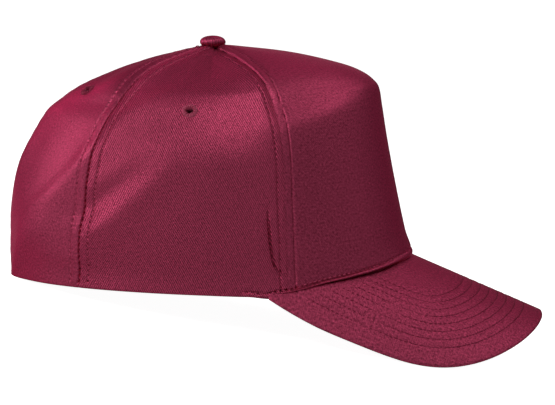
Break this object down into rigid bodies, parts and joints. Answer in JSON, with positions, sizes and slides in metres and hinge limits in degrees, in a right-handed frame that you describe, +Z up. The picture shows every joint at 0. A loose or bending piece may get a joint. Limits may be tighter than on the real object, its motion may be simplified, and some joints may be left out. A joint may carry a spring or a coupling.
{
  "type": "five panel cap",
  "caption": "Structured cap with a closed back, a wide upright front panel, side and back panels, a covered button, stitched eyelets and a curved peak.",
  "frame": {"origin": "centre of the cap's footprint, on the surface that it rests on", "axes": "+X forward, from the closed back towards the tip of the peak; +Y to the wearer's left; +Z up from the surface"},
  "size_m": [0.2758, 0.164, 0.1375],
  "materials": {
    "twill": "burgundy cotton twill with a soft sheen",
    "thread": "burgundy embroidery thread, slightly glossy"
  },
  "bodies": {
    "root": {"front_panel": "twill", "side_panel_right": "twill", "side_panel_left": "twill", "back_panel_right": "twill", "back_panel_left": "twill", "peak": "twill", "top_button": "twill", "side_eyelet_right": "thread", "side_eyelet_left": "thread", "back_eyelet_right": "thread", "back_eyelet_left": "thread"}
  },
  "joints": []
}
